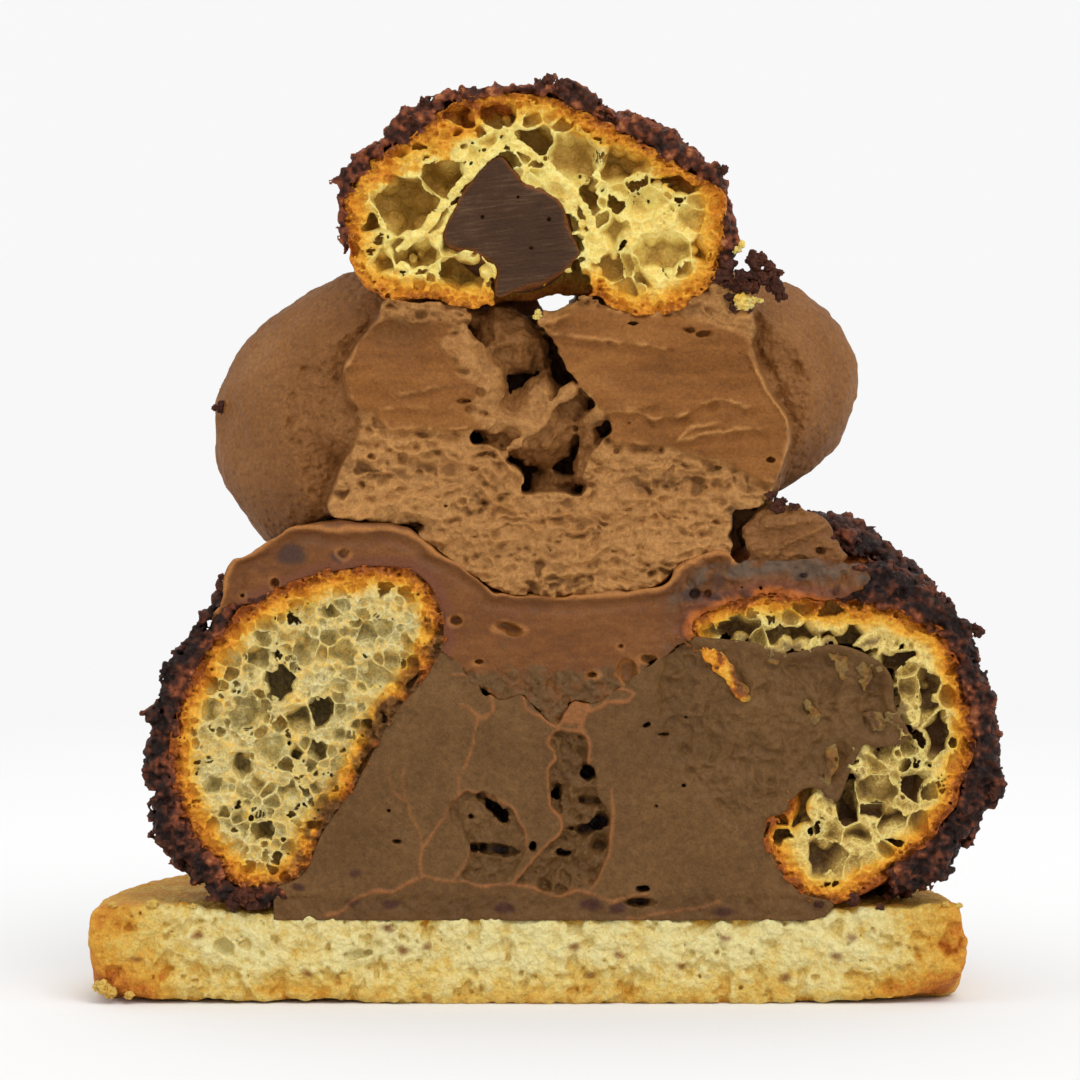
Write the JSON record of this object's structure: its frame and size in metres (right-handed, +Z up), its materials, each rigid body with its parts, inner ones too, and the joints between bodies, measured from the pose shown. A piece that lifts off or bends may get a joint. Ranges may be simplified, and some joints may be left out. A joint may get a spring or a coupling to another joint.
{
  "type": "saint-honore cake",
  "caption": "Cut half of a chocolate saint-honore cake: biscuit base, ring of crusted choux puffs, chocolate filling, piped whipped cream and a filled puff on top.",
  "frame": {"origin": "on the surface that the cake stands on, under the middle of its footprint", "axes": "+Z up, the flat cut side faces -Y, +X to the right of someone who faces the cut side"},
  "size_m": [0.0829, 0.045, 0.0843],
  "materials": {
    "biscuit": "matte, crumbly shortbread",
    "crumb": "matte, open choux crumb with a browned crust",
    "craquelin": "matte, rough cocoa crust",
    "filling": "satin chocolate cream",
    "layer": "satin milk chocolate cream",
    "cream": "matte whipped chocolate cream",
    "core": "satin dark ganache"
  },
  "bodies": {
    "root": {"biscuit_base": "biscuit", "chocolate_filling": "filling", "milk_cream_layer": "layer", "choux_left": "crumb", "choux_right": "crumb", "choux_back": "crumb", "choux_top": "crumb", "craquelin_left": "craquelin", "craquelin_right": "craquelin", "craquelin_back": "craquelin", "craquelin_top": "craquelin", "whipped_cream": "cream", "cream_flake": "cream", "ganache_core": "core"}
  },
  "joints": []
}
